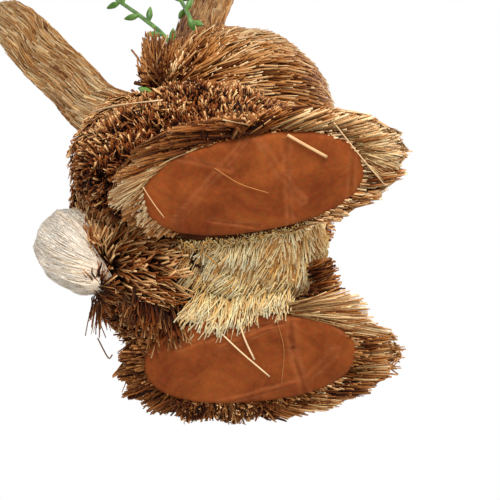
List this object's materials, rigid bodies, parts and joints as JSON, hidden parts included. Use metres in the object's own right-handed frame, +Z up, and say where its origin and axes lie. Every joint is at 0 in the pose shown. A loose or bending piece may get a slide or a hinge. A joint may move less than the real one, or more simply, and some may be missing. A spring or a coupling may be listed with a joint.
{
  "type": "straw rabbit ornament",
  "caption": "Sitting rabbit of bundled straw with paper-soled hind feet, pale belly pad, fibre tail, upright wired ears and small green sprigs.",
  "frame": {"origin": "middle of the whole rabbit's box, on the ground that its soles stand on", "axes": "+Z up through the ears, -Y the way the rabbit's body faces, +X its left side"},
  "size_m": [0.1698, 0.2308, 0.394],
  "materials": {
    "brown_straw": "matt, shaggy cut straw ends",
    "tan_straw": "satin dry straw laid lengthwise",
    "cream_straw": "matt pale bristle, cut ends outwards",
    "white_fibre": "matt fine bleached fibre",
    "russet_paper": "matt crinkled paper",
    "green_plastic": "soft moulded sheen",
    "dark_bead": "glossy bead",
    "brown_bead": "satin bead"
  },
  "bodies": {
    "root": {"body": "brown_straw", "haunch_left": "brown_straw", "haunch_right": "brown_straw", "foot_left": "tan_straw", "foot_right": "tan_straw", "foreleg_left": "tan_straw", "foreleg_right": "tan_straw", "head": "tan_straw", "ear_left": "tan_straw", "ear_right": "tan_straw", "belly": "cream_straw", "tail": "white_fibre", "sole_left": "russet_paper", "sole_right": "russet_paper", "sprig_rear": "green_plastic", "sprig_front": "green_plastic", "eye_left": "dark_bead", "eye_right": "dark_bead", "nose": "brown_bead"}
  },
  "joints": []
}
